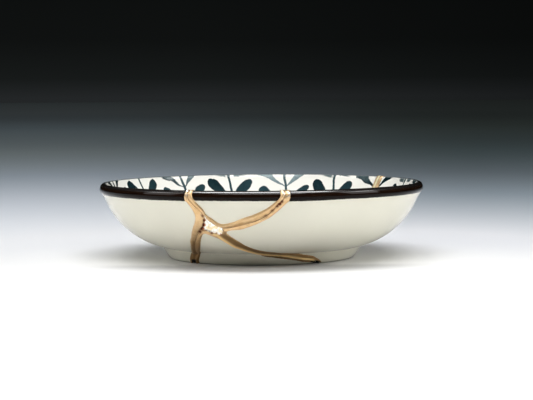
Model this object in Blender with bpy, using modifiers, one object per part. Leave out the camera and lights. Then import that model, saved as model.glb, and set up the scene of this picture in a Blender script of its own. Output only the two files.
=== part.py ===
"""Kintsugi dish: a porcelain dish in four shards, mended with one network of gold lacquer.

Metres, +Z up. The dish stands on its foot ring, with the origin under its middle.
An azimuth is measured in degrees from the front (-Y) towards +X.
A station is a place along the dish's section: its radius on the base, and above the foot's
crease that radius plus the length run up the outside of the wall.
"""
import math

import bmesh
import bpy
from mathutils import Vector
from mathutils.geometry import interpolate_bezier

# Section of the dish, as (radius, height)
LIP_INSIDE = Vector((0.0871, 0.0414))
LIP_CREST = Vector((0.0887, 0.0422))
LIP_WIDEST = Vector((0.0910, 0.0388))
BAND_EDGE = Vector((0.0900, 0.0369))
FLARE_START = Vector((0.0874, 0.0325))
FOOT_CREASE = Vector((0.0555, 0.0054))
FOOT_TOE = Vector((0.0512, 0.0))
FOOT_HEEL = Vector((0.0473, 0.0))
RECESS_EDGE = Vector((0.0458, 0.0031))
WELL_EDGE = Vector((0.0460, 0.0082))
WELL_DIP = 0.0004

# How each curve leaves its two ends: angle above level in degrees, and reach
OUTER_WALL_SHAPE = ((14.0, 0.0193), (67.3, 0.0096))
FLARE_SHAPE = ((67.3, 0.0015), (50.0, 0.0015))
INNER_WALL_SHAPE = ((5.0, 0.0255), (66.0, 0.0160))
FOOT_SHAPE = ((0.0, 0.0015), (62.0, 0.0022))
BAND_SHAPE = ((30.0, 0.0006), (90.0, 0.0009))

TURN_STEPS = 64
OUTER_WALL_STEPS = 9
FLARE_STEPS = 2
INNER_WALL_STEPS = 8
FOOT_STEPS = 3
BAND_STEPS = 2
LIP_OUTSIDE_STEPS = 3
LIP_INSIDE_STEPS = 2
FINE_STEPS = 96

# Cracks cut through the wall: a reach past the skin, and a sweep past the rim
CRACK_GAP = 0.0014
CHIP_GAP = 0.0046
CRACK_STEP = 0.0052
CURVE_STEPS = 24
CUT_REACH = 0.0030
CUT_SWEEP = Vector((0.0080, 0.0030))

# Gold in the cracks: a web through the wall, and a bead with its root below the skin
CLEARANCE = 0.0003
WEB_REACH = 0.0006
WEB_SWEEP = Vector((0.0012, 0.0010))
BEAD_WIDTH = 0.0056
CHIP_BEAD_WIDTH = 0.0078
UNDER_BEAD_WIDTH = 0.0040
UNDER_BEAD_RADIUS = 0.0442
BEAD_CROWN = 0.0013
BEAD_SHOULDER = 0.0009
BEAD_ROOT = 0.0008
BEAD_SECTION = (
    (-1.0, -BEAD_ROOT), (-0.8, BEAD_SHOULDER), (-0.35, BEAD_CROWN),
    (0.35, BEAD_CROWN), (0.8, BEAD_SHOULDER), (1.0, -BEAD_ROOT),
)
FLOOR_MARGIN = 0.0004
FLOOR_SIZE = 0.2

# Each shard's name, and roughly where the middle of its box is
SHARDS = {
    "shard_rim_front": Vector((-0.012, -0.084, 0.032)),
    "shard_foot_front": Vector((-0.003, -0.040, 0.014)),
    "shard_left": Vector((-0.009, 0.004, 0.021)),
    "shard_right": Vector((0.035, -0.018, 0.021)),
}
CREASE_ANGLE = math.radians(35.0)

PORCELAIN = (0.78, 0.76, 0.68, 1.0)
GOLD = (0.83, 0.57, 0.24, 1.0)


def bezier(start, end, shape, steps):
    """Points of a cubic curve in the section plane, both ends included."""
    (start_angle, start_reach), (end_angle, end_reach) = shape
    leave = Vector((math.cos(math.radians(start_angle)), math.sin(math.radians(start_angle))))
    arrive = Vector((math.cos(math.radians(end_angle)), math.sin(math.radians(end_angle))))
    handles = start + leave * start_reach, end - arrive * end_reach
    knots = [point.to_3d() for point in (start, *handles, end)]
    return [point.to_2d() for point in interpolate_bezier(*knots, steps + 1)]


def quarter(centre, radii, first_angle, last_angle, steps):
    """Points of an elliptical quarter in the section plane, its first point left out."""
    turn = math.radians(last_angle - first_angle) / steps
    angles = [math.radians(first_angle) + turn * step for step in range(1, steps + 1)]
    return [centre + Vector((radii[0] * math.cos(a), radii[1] * math.sin(a))) for a in angles]


class Track:
    """A line in the section plane, looked up by the length run along it."""

    def __init__(self, points):
        self.points = points
        self.lengths = [0.0]
        for before, after in zip(points, points[1:]):
            self.lengths.append(self.lengths[-1] + (after - before).length)
        self.length = self.lengths[-1]

    def at(self, length):
        length = min(max(length, 0.0), self.length)
        index = next(i for i in range(1, len(self.lengths)) if length <= self.lengths[i] + 1e-12)
        start, end = self.lengths[index - 1], self.lengths[index]
        return self.points[index - 1].lerp(self.points[index], (length - start) / (end - start))

    def length_where(self, axis, value):
        """The length at which the radius (axis 0) or the height (axis 1) reaches a value."""
        for index in range(1, len(self.points)):
            low, high = self.points[index - 1][axis], self.points[index][axis]
            if low <= value <= high:
                share = (value - low) / max(high - low, 1e-12)
                return self.lengths[index - 1] + share * (self.lengths[index] - self.lengths[index - 1])
        return self.length if value > self.points[-1][axis] else 0.0


def outer_wall(steps, flare_steps):
    """Up the outside from the foot's crease, and flaring out to the band's edge under the lip."""
    wall = bezier(FOOT_CREASE, FLARE_START, OUTER_WALL_SHAPE, steps)
    return wall + bezier(FLARE_START, BAND_EDGE, FLARE_SHAPE, flare_steps)[1:]


def inner_wall(steps):
    return bezier(WELL_EDGE, LIP_INSIDE, INNER_WALL_SHAPE, steps)


def foot_face(steps):
    return bezier(FOOT_TOE, FOOT_CREASE, FOOT_SHAPE, steps)


def lip():
    """From the inner wall's top over the crest and the widest line down to the band's edge."""
    inside = LIP_CREST - LIP_INSIDE
    outside = LIP_WIDEST.x - LIP_CREST.x, LIP_CREST.y - LIP_WIDEST.y
    over = quarter(Vector((LIP_CREST.x, LIP_INSIDE.y)), inside, 180.0, 90.0, LIP_INSIDE_STEPS)
    middle_of_edge = Vector((LIP_CREST.x, LIP_WIDEST.y))
    round_edge = quarter(middle_of_edge, outside, 90.0, 0.0, LIP_OUTSIDE_STEPS)
    under = bezier(BAND_EDGE, LIP_WIDEST, BAND_SHAPE, BAND_STEPS)[:-1]
    return [LIP_INSIDE, *over, *round_edge, *reversed(under)]


OUTER_WALL = Track(outer_wall(FINE_STEPS, FINE_STEPS))
INNER_WALL = Track(inner_wall(FINE_STEPS))
FOOT_FACE = Track(foot_face(FINE_STEPS))
RIM_STATION = FOOT_CREASE.x + OUTER_WALL.length
INNER_START = INNER_WALL.length_where(0, FOOT_CREASE.x)


def well_point(radius):
    fall = WELL_DIP * (1.0 - (radius / WELL_EDGE.x) ** 2)
    return Vector((radius, WELL_EDGE.y - fall))


def outer_point(station):
    """Where a crack shows on the outside or the underside of the dish."""
    if station > FOOT_CREASE.x:
        return OUTER_WALL.at(station - FOOT_CREASE.x)
    if station > FOOT_TOE.x:
        return FOOT_FACE.at(FOOT_FACE.length_where(0, station))
    if station > FOOT_HEEL.x:
        return Vector((station, 0.0))
    if station > RECESS_EDGE.x:
        return FOOT_HEEL.lerp(RECESS_EDGE, (FOOT_HEEL.x - station) / (FOOT_HEEL.x - RECESS_EDGE.x))
    return Vector((station, RECESS_EDGE.y))


def inner_point(station):
    """Where the same crack shows on the inside of the dish."""
    if station > FOOT_CREASE.x:
        share = (station - FOOT_CREASE.x) / OUTER_WALL.length
        return INNER_WALL.at(INNER_START + share * (INNER_WALL.length - INNER_START))
    if station > WELL_EDGE.x:
        return INNER_WALL.at(INNER_WALL.length_where(0, station))
    return well_point(station)


def unrolled(azimuth, station):
    """The dish's skin laid flat: straight out from the middle by the station."""
    angle = math.radians(azimuth)
    return Vector((station * math.sin(angle), -station * math.cos(angle)))


def on_rim(azimuth):
    return unrolled(azimuth, RIM_STATION)


def on_wall(azimuth, height):
    return unrolled(azimuth, FOOT_CREASE.x + OUTER_WALL.length_where(1, height))


def on_base(azimuth, radius):
    return unrolled(azimuth, radius)


# The main crack: front rim, past the chip, under the foot, across the base, up to the back rim
CHIP_LEFT = on_wall(-21.8, 0.0250)
MEETING = on_base(-48.8, 0.0053)
MAIN_CRACK = [
    on_rim(-24.3), on_wall(-23.2, 0.0352), on_wall(-21.3, 0.0295), CHIP_LEFT,
    on_wall(-24.6, 0.0200), on_wall(-29.8, 0.0122), on_base(-40.0, 0.0552), on_base(-43.8, 0.0505),
    on_base(-46.2, 0.0347), on_base(-54.5, 0.0172), MEETING, on_base(123.7, 0.0144),
    on_base(124.2, 0.0338), on_base(128.5, 0.0530), on_wall(130.0, 0.0150), on_wall(127.0, 0.0290),
    on_rim(126.1),
]
# The second crack: front rim, past the chip, along the foot, under it to the main crack
CHIP_RIGHT = on_wall(-15.4, 0.0205)
SECOND_CRACK = [
    on_rim(7.9), on_wall(6.3, 0.0356), on_wall(2.4, 0.0306), on_wall(-3.5, 0.0264),
    on_wall(-10.2, 0.0238), CHIP_RIGHT, on_wall(-11.4, 0.0142), on_wall(-4.6, 0.0089),
    on_base(6.5, 0.0558), on_base(20.0, 0.0546), on_base(31.5, 0.0530), on_base(37.0, 0.0500),
    on_base(35.5, 0.0316), on_base(24.8, 0.0143), MEETING,
]
CHIP = [CHIP_LEFT, CHIP_LEFT.lerp(CHIP_RIGHT, 0.5), CHIP_RIGHT]


def stretched(knots, extra):
    """The same path, run on a little past both its ends."""
    first, last = (knots[0] - knots[1]).normalized(), (knots[-1] - knots[-2]).normalized()
    return [knots[0] + first * extra, *knots[1:-1], knots[-1] + last * extra]


def smooth_path(knots):
    """Stations and azimuths (radians) at even steps along a smooth curve through the knots."""
    courses = []
    for index, knot in enumerate(knots):
        before = knots[max(index - 1, 0)]
        after = knots[min(index + 1, len(knots) - 1)]
        courses.append((after - before).normalized())
    fine = []
    for index in range(len(knots) - 1):
        start, end = knots[index], knots[index + 1]
        span = (end - start).length / 3.0
        handles = start + courses[index] * span, end - courses[index + 1] * span
        fine += interpolate_bezier(*[p.to_3d() for p in (start, *handles, end)], CURVE_STEPS)[:-1]
    track = Track([point.to_2d() for point in fine] + [knots[-1]])
    count = round(track.length / CRACK_STEP)
    points = [track.at(track.length * i / count) for i in range(count + 1)]
    return [(point.length, math.atan2(point.x, -point.y)) for point in points]


def in_space(section_point, azimuth):
    radius, height = section_point
    return Vector((radius * math.sin(azimuth), -radius * math.cos(azimuth), height))


def link(name, mesh, collection):
    thing = bpy.data.objects.new(name, mesh)
    collection.objects.link(thing)
    return thing


def mesh_from(bm, name):
    bmesh.ops.recalc_face_normals(bm, faces=bm.faces)
    mesh = bpy.data.meshes.new(name)
    bm.to_mesh(mesh)
    bm.free()
    return mesh


def as_cutter(thing):
    thing.hide_render = True
    thing.display_type = "WIRE"
    return thing


def dish_section():
    """The dish's whole outline, from the middle of the well round to the middle of the base."""
    well = [well_point(WELL_EDGE.x * share) for share in (0.0, 0.5)]
    outer = list(reversed(outer_wall(OUTER_WALL_STEPS, FLARE_STEPS)))
    foot = list(reversed(foot_face(FOOT_STEPS)))
    base = [FOOT_HEEL, RECESS_EDGE, Vector((0.0, RECESS_EDGE.y))]
    return well + inner_wall(INNER_WALL_STEPS)[:-1] + lip() + outer[1:] + foot[1:] + base


def grown(points, amount):
    """An outline moved outwards by an amount, with mitred corners."""
    sides = [(after - before).normalized() for before, after in zip(points, points[1:])]
    moved = []
    for index, point in enumerate(points):
        before, after = sides[max(index - 1, 0)], sides[min(index, len(sides) - 1)]
        run = (before + after).normalized()
        moved.append(point + Vector((-run.y, run.x)) * (amount / run.dot(after)))
    return moved


def make_turned(name, section, collection):
    """A solid turned from an outline that starts and ends on the axis."""
    bm = bmesh.new()
    points = [bm.verts.new((radius, 0.0, height)) for radius, height in section]
    for before, after in zip(points, points[1:]):
        bm.edges.new((before, after))
    mesh = bpy.data.meshes.new(name)
    bm.to_mesh(mesh)
    bm.free()
    turned = link(name, mesh, collection)
    screw = turned.modifiers.new("turn", "SCREW")
    screw.angle = math.tau
    screw.steps = screw.render_steps = TURN_STEPS
    screw.use_merge_vertices = True
    screw.merge_threshold = 0.00001
    return as_cutter(turned)


def make_sheet(name, path, thickness, reach, sweep, stand_off, collection):
    """A crack's surface, from past the outside to past the inside, given a thickness."""
    rails = []
    for station, azimuth in path:
        outer, inner = outer_point(station), inner_point(station)
        through = (outer - inner).normalized()
        outer_end = outer + through * reach
        outer_end.y = max(outer_end.y, stand_off)
        rails.append((outer_end, inner - through * reach, azimuth))
    for end, place in ((0, 0), (-1, len(rails) + 1)):
        if path[end][0] > RIM_STATION - CLEARANCE:
            outer_end, inner_end, azimuth = rails[end]
            rails.insert(place, (outer_end + sweep, inner_end + sweep, azimuth))
    bm = bmesh.new()
    rows = [[bm.verts.new(in_space(point, azimuth)) for point in (outer_end, inner_end)]
            for outer_end, inner_end, azimuth in rails]
    for (low, high), (next_low, next_high) in zip(rows, rows[1:]):
        bm.faces.new((low, high, next_high, next_low))
    sheet = link(name, mesh_from(bm, name), collection)
    solidify = sheet.modifiers.new("thickness", "SOLIDIFY")
    solidify.thickness = thickness
    solidify.offset = 0.0
    return as_cutter(sheet)


def outward(points):
    """Unit normals on the left of a line in the section plane, mean ones at its corners."""
    sides = [(after - before).normalized() for before, after in zip(points, points[1:])]
    runs = [sides[0], *[(a + b).normalized() for a, b in zip(sides, sides[1:])], sides[-1]]
    return [Vector((-run.y, run.x)) for run in runs]


def skin_frames(path, point_at):
    """Places on the dish's skin along a path, with the skin's own normals."""
    frames = []
    for station, azimuth in path:
        along = point_at(station + CLEARANCE) - point_at(station - CLEARANCE)
        normal = Vector((-along.y, along.x)).normalized()
        if point_at is outer_point:
            normal.negate()
        frames.append((in_space(point_at(station), azimuth), in_space(normal, azimuth)))
    return frames


def lip_frames(azimuth):
    """Places over the lip from the inside to the outside, at one azimuth."""
    points = lip()
    normals = outward(points)
    return [(in_space(p, azimuth), in_space(n, azimuth)) for p, n in zip(points, normals)][1:-1]


def make_bead(name, frames, width, collection):
    """A low rounded ridge along the skin, rooted a little below it."""
    bm = bmesh.new()
    rings = []
    for index, (place, normal) in enumerate(frames):
        before = frames[max(index - 1, 0)][0]
        after = frames[min(index + 1, len(frames) - 1)][0]
        across = (after - before).cross(normal).normalized() * (width / 2.0)
        rings.append([bm.verts.new(place + normal * up + across * side) for side, up in BEAD_SECTION])
    for ring, following in zip(rings, rings[1:]):
        for i in range(len(ring)):
            bm.faces.new((ring[i - 1], ring[i], following[i], following[i - 1]))
    bm.faces.new(rings[0])
    bm.faces.new(rings[-1])
    return as_cutter(link(name, mesh_from(bm, name), collection))


def combine(target, tool, operation, crosses_itself=False):
    """A Boolean, told when the target passes through itself, as a bent bead does."""
    boolean = target.modifiers.new(f"{operation.lower()} {tool.name}", "BOOLEAN")
    boolean.operation = operation
    boolean.solver = "EXACT"
    boolean.use_self = crosses_itself
    boolean.object = tool


def evaluated_copy(thing, name, collection):
    graph = bpy.context.evaluated_depsgraph_get()
    mesh = bpy.data.meshes.new_from_object(thing.evaluated_get(graph))
    return link(name, mesh, collection)


def loose_parts(thing):
    """Splits an object into one object for each of its separate bodies."""
    bpy.ops.object.select_all(action="DESELECT")
    bpy.context.view_layer.objects.active = thing
    thing.select_set(True)
    bpy.ops.object.mode_set(mode="EDIT")
    bpy.ops.mesh.select_all(action="SELECT")
    bpy.ops.mesh.separate(type="LOOSE")
    bpy.ops.object.mode_set(mode="OBJECT")
    return list(bpy.context.selected_objects)


def middle(thing):
    corners = [Vector(corner) for corner in thing.bound_box]
    return (corners[0] + corners[6]) / 2.0


def make_shards(paths, collection, cutters):
    """The four pieces that the cracks leave of the bowl."""
    bowl = make_turned("bowl", dish_section(), cutters)
    main, second, _ = paths
    chip = smooth_path(stretched(CHIP, CLEARANCE))
    for name, path, gap in (("main cut", main, CRACK_GAP), ("second cut", second, CRACK_GAP),
                            ("chip cut", chip, CHIP_GAP)):
        cut = make_sheet(name, path, gap, CUT_REACH, CUT_SWEEP, -CUT_REACH, cutters)
        combine(bowl, cut, "DIFFERENCE")
    broken = evaluated_copy(bowl, "broken", collection)
    shards = loose_parts(broken)
    for name, place in SHARDS.items():
        shard = min(shards, key=lambda thing: (middle(thing) - place).length)
        shards.remove(shard)
        shard.name = name
        shard.data.name = name
        finish(shard, "glazed porcelain", PORCELAIN, 0.12, 0.0)


def make_floor(collection):
    """Everything lower than the gold may reach, so that the dish stands on its foot alone."""
    bm = bmesh.new()
    bmesh.ops.create_cube(bm, size=FLOOR_SIZE)
    bmesh.ops.translate(bm, verts=bm.verts, vec=(0.0, 0.0, FLOOR_MARGIN - FLOOR_SIZE / 2.0))
    return as_cutter(link("floor", mesh_from(bm, "floor"), collection))


def make_gold(paths, collection, cutters):
    """The lacquer network: a bead on each side of every crack and a web through the wall."""
    main, second, chip = paths
    front = [(s, a) for s, a in main[1:] if s > FOOT_TOE.x and math.cos(a) > 0.0]
    back = [(s, a) for s, a in main[:-1] if s > FOOT_TOE.x and math.cos(a) < 0.0]
    flank = [(s, a) for s, a in second[1:] if s > FOOT_TOE.x]
    loop = [
        *reversed(skin_frames(front, outer_point)), *reversed(lip_frames(main[0][1])),
        *skin_frames(main[1:-1], inner_point),
        *lip_frames(main[-1][1]), *reversed(skin_frames(back, outer_point)),
    ]
    fork = [
        *reversed(skin_frames(flank, outer_point)), *reversed(lip_frames(second[0][1])),
        *skin_frames(second[1:], inner_point),
    ]
    under = [[place for place in path if place[0] < UNDER_BEAD_RADIUS] for path in (main, second)]
    body = make_bead("main bead", loop, BEAD_WIDTH, cutters)
    for bead in (
        make_bead("second bead", fork, BEAD_WIDTH, cutters),
        make_bead("chip bead outside", skin_frames(chip, outer_point), CHIP_BEAD_WIDTH, cutters),
        make_bead("chip bead inside", skin_frames(chip, inner_point), BEAD_WIDTH, cutters),
        make_bead("main bead under", skin_frames(under[0], outer_point), UNDER_BEAD_WIDTH, cutters),
        make_bead("second bead under", skin_frames(under[1], outer_point), UNDER_BEAD_WIDTH, cutters),
    ):
        combine(body, bead, "UNION")
    combine(body, make_turned("grown bowl", grown(dish_section(), CLEARANCE), cutters), "DIFFERENCE", True)
    combine(body, make_floor(cutters), "DIFFERENCE")
    for name, path, gap in (("main web", main, CRACK_GAP), ("second web", second, CRACK_GAP),
                            ("chip web", chip, CHIP_GAP)):
        web = make_sheet(name, path, gap - 2 * CLEARANCE, WEB_REACH, WEB_SWEEP, WEB_REACH, cutters)
        combine(body, web, "UNION")
    seam = evaluated_copy(body, "gold_seam", collection)
    finish(seam, "gold lacquer", GOLD, 0.32, 1.0)


def finish(thing, kind, colour, roughness, metallic):
    material = bpy.data.materials.new(f"{kind} of {thing.name}")
    material.use_nodes = True
    shader = material.node_tree.nodes["Principled BSDF"]
    shader.inputs["Base Color"].default_value = colour
    shader.inputs["Roughness"].default_value = roughness
    shader.inputs["Metallic"].default_value = metallic
    material.diffuse_color = colour
    thing.data.materials.clear()
    thing.data.materials.append(material)
    thing.data.shade_smooth()
    thing.data.set_sharp_from_angle(angle=CREASE_ANGLE)


def main():
    for thing in list(bpy.data.objects):
        bpy.data.objects.remove(thing, do_unlink=True)
    parts = bpy.data.collections.new("kintsugi_dish")
    cutters = bpy.data.collections.new("cutters")
    for collection in (parts, cutters):
        bpy.context.scene.collection.children.link(collection)
    paths = [smooth_path(knots) for knots in (MAIN_CRACK, SECOND_CRACK, CHIP)]
    make_shards(paths, parts, cutters)
    make_gold(paths, parts, cutters)


main()
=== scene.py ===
"""Looks of the kintsugi dish: four glazed shards and the raised gold that joins them.

Metres, +Z up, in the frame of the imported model. An azimuth is in degrees from the front (-Y)
towards +X. The dish's skin is one line in the section plane, and "along" is the length run on it
from the middle of the underside, round the foot, up the wall, over the lip and down to the well.
"""

import math

import bmesh
import bpy
import numpy as np
from mathutils import Matrix, Vector, noise
from mathutils.geometry import interpolate_bezier


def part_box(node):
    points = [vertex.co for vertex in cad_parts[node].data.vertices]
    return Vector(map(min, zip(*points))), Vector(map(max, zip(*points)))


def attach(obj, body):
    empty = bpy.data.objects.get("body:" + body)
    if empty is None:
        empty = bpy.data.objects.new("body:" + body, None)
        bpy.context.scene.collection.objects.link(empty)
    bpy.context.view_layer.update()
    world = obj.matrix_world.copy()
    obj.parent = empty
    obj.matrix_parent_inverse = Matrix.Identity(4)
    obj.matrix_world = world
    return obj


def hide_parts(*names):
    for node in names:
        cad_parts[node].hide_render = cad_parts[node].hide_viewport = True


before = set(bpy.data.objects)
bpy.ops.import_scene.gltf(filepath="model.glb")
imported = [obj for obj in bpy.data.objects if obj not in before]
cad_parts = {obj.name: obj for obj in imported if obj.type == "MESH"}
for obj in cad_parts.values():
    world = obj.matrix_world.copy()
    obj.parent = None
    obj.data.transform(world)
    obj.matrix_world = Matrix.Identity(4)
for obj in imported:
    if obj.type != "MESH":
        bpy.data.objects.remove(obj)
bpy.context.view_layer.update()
MM = 0.001

# ---------------------------------------------------------------- the dish's section

LIP_INSIDE = (0.0871, 0.0414)
LIP_CREST = (0.0887, 0.0422)
LIP_WIDEST = (0.0910, 0.0388)
BAND_EDGE = (0.0900, 0.0369)
FLARE_START = (0.0874, 0.0325)
FOOT_CREASE = (0.0560, 0.0064)
FOOT_TOE = (0.0512, 0.0)
FOOT_HEEL = (0.0473, 0.0)
RECESS_EDGE = (0.0458, 0.0031)
WELL_EDGE = (0.0460, 0.0082)
WELL_DIP = 0.0004
OUTER_WALL_SHAPE = ((14.0, 0.0193), (67.3, 0.0096))
FLARE_SHAPE = ((67.3, 0.0015), (50.0, 0.0015))
INNER_WALL_SHAPE = ((5.0, 0.0255), (66.0, 0.0160))
FOOT_SHAPE = ((0.0, 0.0015), (62.0, 0.0022))
BAND_SHAPE = ((30.0, 0.0006), (90.0, 0.0009))
TURN_STEPS = 320


def bezier(start, end, shape, steps):
    """Points of a cubic curve in the section plane, from its ends' angles and reaches."""
    start, end = Vector(start), Vector(end)
    (start_angle, start_reach), (end_angle, end_reach) = shape
    leave = Vector((math.cos(math.radians(start_angle)), math.sin(math.radians(start_angle))))
    arrive = Vector((math.cos(math.radians(end_angle)), math.sin(math.radians(end_angle))))
    knots = [point.to_3d() for point in (start, start + leave * start_reach, end - arrive * end_reach, end)]
    return [point.to_2d() for point in interpolate_bezier(*knots, steps + 1)]


def quarter(centre, radii, first_angle, last_angle, steps):
    turn = math.radians(last_angle - first_angle) / steps
    angles = [math.radians(first_angle) + turn * step for step in range(1, steps + 1)]
    return [Vector((centre[0] + radii[0] * math.cos(angle), centre[1] + radii[1] * math.sin(angle)))
            for angle in angles]


def well_point(radius):
    return Vector((radius, WELL_EDGE[1] - WELL_DIP * (1.0 - (radius / WELL_EDGE[0]) ** 2)))


def skin_outline(fineness):
    """The whole outline from the middle of the underside to the middle of the well."""
    def steps(count):
        return max(2, round(count * fineness))
    base = [Vector((RECESS_EDGE[0] * share, RECESS_EDGE[1])) for share in (0.0, 0.35, 0.7)]
    heel = [Vector(RECESS_EDGE), Vector(RECESS_EDGE).lerp(Vector(FOOT_HEEL), 0.5), Vector(FOOT_HEEL)]
    foot = bezier(FOOT_TOE, FOOT_CREASE, FOOT_SHAPE, steps(10))
    wall = bezier(FOOT_CREASE, FLARE_START, OUTER_WALL_SHAPE, steps(36))
    wall += bezier(FLARE_START, BAND_EDGE, FLARE_SHAPE, steps(6))[1:]
    band = bezier(BAND_EDGE, LIP_WIDEST, BAND_SHAPE, steps(6))
    outside = LIP_WIDEST[0] - LIP_CREST[0], LIP_CREST[1] - LIP_WIDEST[1]
    inside = LIP_CREST[0] - LIP_INSIDE[0], LIP_CREST[1] - LIP_INSIDE[1]
    over = quarter((LIP_CREST[0], LIP_WIDEST[1]), outside, 0.0, 90.0, steps(10))
    down = quarter((LIP_CREST[0], LIP_INSIDE[1]), inside, 90.0, 180.0, steps(6))
    inner = list(reversed(bezier(WELL_EDGE, LIP_INSIDE, INNER_WALL_SHAPE, steps(40))))
    well = [well_point(WELL_EDGE[0] * share) for share in (0.85, 0.6, 0.3, 0.0)]
    return base + heel + foot + wall[1:] + band[1:] + over + down + inner[1:] + well


class Skin:
    """The outline by length: places, outward normals, and lengths at given radii or heights."""

    def __init__(self, points):
        coarse = np.array([tuple(point) for point in points])
        fine = [coarse[:1]]
        for start, end in zip(coarse[:-1], coarse[1:]):
            count = max(1, math.ceil(math.dist(start, end) / 0.0003))
            fine.append(start + (end - start) * (np.arange(1, count + 1) / count)[:, None])
        self.points = np.concatenate(fine)
        steps = np.diff(self.points, axis=0)
        self.lengths = np.concatenate([[0.0], np.cumsum(np.hypot(*steps.T))])
        self.total = float(self.lengths[-1])
        self.crest = self.length_near(LIP_CREST)
        self.crease = self.length_near(FOOT_CREASE)
        self.toe = self.length_near(FOOT_TOE)
        self.band = self.length_near(BAND_EDGE)
        self.inner_top = self.length_near(LIP_INSIDE)

    def length_near(self, point):
        return float(self.lengths[np.argmin(np.hypot(*(self.points - np.array(point)).T))])

    def section(self, along):
        return (np.interp(along, self.lengths, self.points[:, 0]),
                np.interp(along, self.lengths, self.points[:, 1]))

    def normals(self, along, reach=0.0004):
        before, after = self.section(along - reach), self.section(along + reach)
        run_r, run_z = after[0] - before[0], after[1] - before[1]
        size = np.maximum(np.hypot(run_r, run_z), 1e-9)
        return run_z / size, -run_r / size

    def places(self, along, azimuth, lift=0.0):
        """Points in space at lengths and azimuths (radians), lifted off along the normal."""
        radius, height = self.section(along)
        out, up = self.normals(along)
        radius, height = radius + out * lift, height + up * lift
        return np.stack([radius * np.sin(azimuth), -radius * np.cos(azimuth), height], axis=-1)


SKIN = Skin(skin_outline(4.0))


# ---------------------------------------------------------------- the cracks

def knots_by(part, column, rows):
    """Knots from rows of azimuth, radius or height in mm, and the gold's widths in mm on each side."""
    return [(azimuth, float(np.interp(measure * MM, SKIN.points[part, column], SKIN.lengths[part])),
             *(widths or (0.0, 0.0))) for azimuth, measure, *widths in rows]


def on_wall(*rows):
    """Knots on the outside, by height."""
    return knots_by((SKIN.lengths >= SKIN.toe) & (SKIN.lengths <= SKIN.crest), 1, rows)


def on_base(*rows):
    """Knots under the dish, by radius."""
    return knots_by(SKIN.lengths <= SKIN.toe, 0, rows)


# From the front rim's left seam down to the chip, and on from the chip under the foot to the middle
TOP_LEFT = on_wall(
    (-24.3, 42.2, 2.0, 1.9), (-24.4, 40.6, 2.0, 1.9), (-24.0, 37.4, 2.3, 2.2), (-23.2, 35.3, 2.5, 2.2),
    (-21.8, 32.8, 3.0, 2.1), (-20.7, 30.9, 3.6, 1.8), (-20.2, 29.2, 4.4, 1.5),
)
LOW_LEFT = on_wall(
    (-22.2, 21.9, 4.0, 2.2), (-23.7, 20.4, 3.4, 2.5), (-25.3, 18.4, 3.0, 2.7), (-27.4, 15.6, 2.6, 2.9),
    (-30.3, 12.0, 2.5, 2.9), (-33.6, 8.9, 2.6, 2.9), (-38.2, 6.0, 2.8, 2.9), (-41.2, 4.2, 3.0, 2.9),
    (-43.1, 1.0, 3.2, 2.9),
) + on_base(
    (-43.6, 50.0, 1.6, 1.6), (-44.2, 46.0, 1.6, 1.6), (-46.2, 34.7, 2.2, 2.2), (-54.5, 17.2, 2.2, 2.2),
    (-48.8, 5.3, 2.2, 2.2),
)
# From the chip's right tip up to the front rim
TOP_RIGHT = on_wall(
    (7.8, 42.2, 2.6, 2.4), (7.8, 40.6, 2.6, 2.4), (7.4, 38.9, 2.6, 2.4), (6.4, 36.4, 2.7, 2.4),
    (4.8, 33.6, 2.4, 2.4), (2.5, 30.3, 2.2, 2.4), (-0.4, 27.7, 2.4, 2.6), (-4.5, 25.5, 2.6, 2.6),
    (-9.0, 23.7, 2.3, 2.3), (-11.6, 23.0, 2.0, 2.1), (-14.2, 22.5, 1.7, 1.9),
)
# From the chip's lower tip along the foot, under it and in to the middle
LOW_RIGHT = on_wall(
    (-15.1, 19.2, 2.2, 2.2), (-13.9, 17.0, 2.5, 2.5), (-12.0, 14.3, 2.7, 2.6), (-8.9, 11.4, 2.8, 2.7),
    (-4.6, 8.9, 2.9, 2.8), (0.6, 7.0, 3.0, 3.0), (8.0, 5.8, 3.0, 3.1), (16.0, 5.0, 2.9, 3.0),
    (22.6, 4.1, 2.9, 2.9), (28.6, 2.9, 2.8, 2.6), (33.2, 1.6, 2.6, 2.2), (35.4, 0.4, 2.4, 2.0),
) + on_base(
    (36.4, 50.0, 1.6, 1.6), (36.9, 46.0, 1.6, 1.6), (35.5, 31.6, 2.2, 2.2), (24.8, 14.3, 2.2, 2.2),
    (-48.8, 5.3, 2.2, 2.2),
)
# From the middle across the base and up the back to the far rim
BACK = on_base(
    (-48.8, 5.3, 2.2, 2.2), (123.7, 14.4, 2.2, 2.2), (124.2, 33.8, 2.2, 2.2), (127.2, 46.0, 1.6, 1.6),
    (127.9, 50.0, 1.6, 1.6),
) + on_wall(
    (128.5, 2.0, 2.6, 2.6), (129.2, 7.0, 2.8, 2.8), (130.0, 15.0, 2.7, 2.6), (127.6, 27.0, 2.4, 2.5),
    (126.4, 36.0, 2.4, 2.4), (126.1, 42.2, 2.5, 2.5),
)
# Dark red-brown places in the groove, whose marks in the chip's pocket paint shade on its deep side:
# azimuth, height, size and strength
STAINS_AND_POCKET_SHADE = (
    (6.6, 37.0, 1.0, 0.9), (6.0, 35.8, 1.1, 1.0), (5.3, 34.6, 0.9, 0.8), (-20.6, 29.2, 1.0, 0.7),
    (3.6, 32.2, 1.0, 0.5), (1.4, 29.8, 1.0, 0.5), (-20.3, 26.8, 1.2, 0.9), (-21.0, 24.4, 1.6, 1.0),
    (-22.0, 22.5, 1.7, 1.0), (-23.4, 20.6, 1.1, 0.8), (-18.6, 19.9, 1.1, 0.8), (-17.2, 19.4, 1.0, 0.9),
    (-15.4, 19.2, 0.9, 0.8), (-14.1, 21.6, 0.7, 0.6),
)
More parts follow.
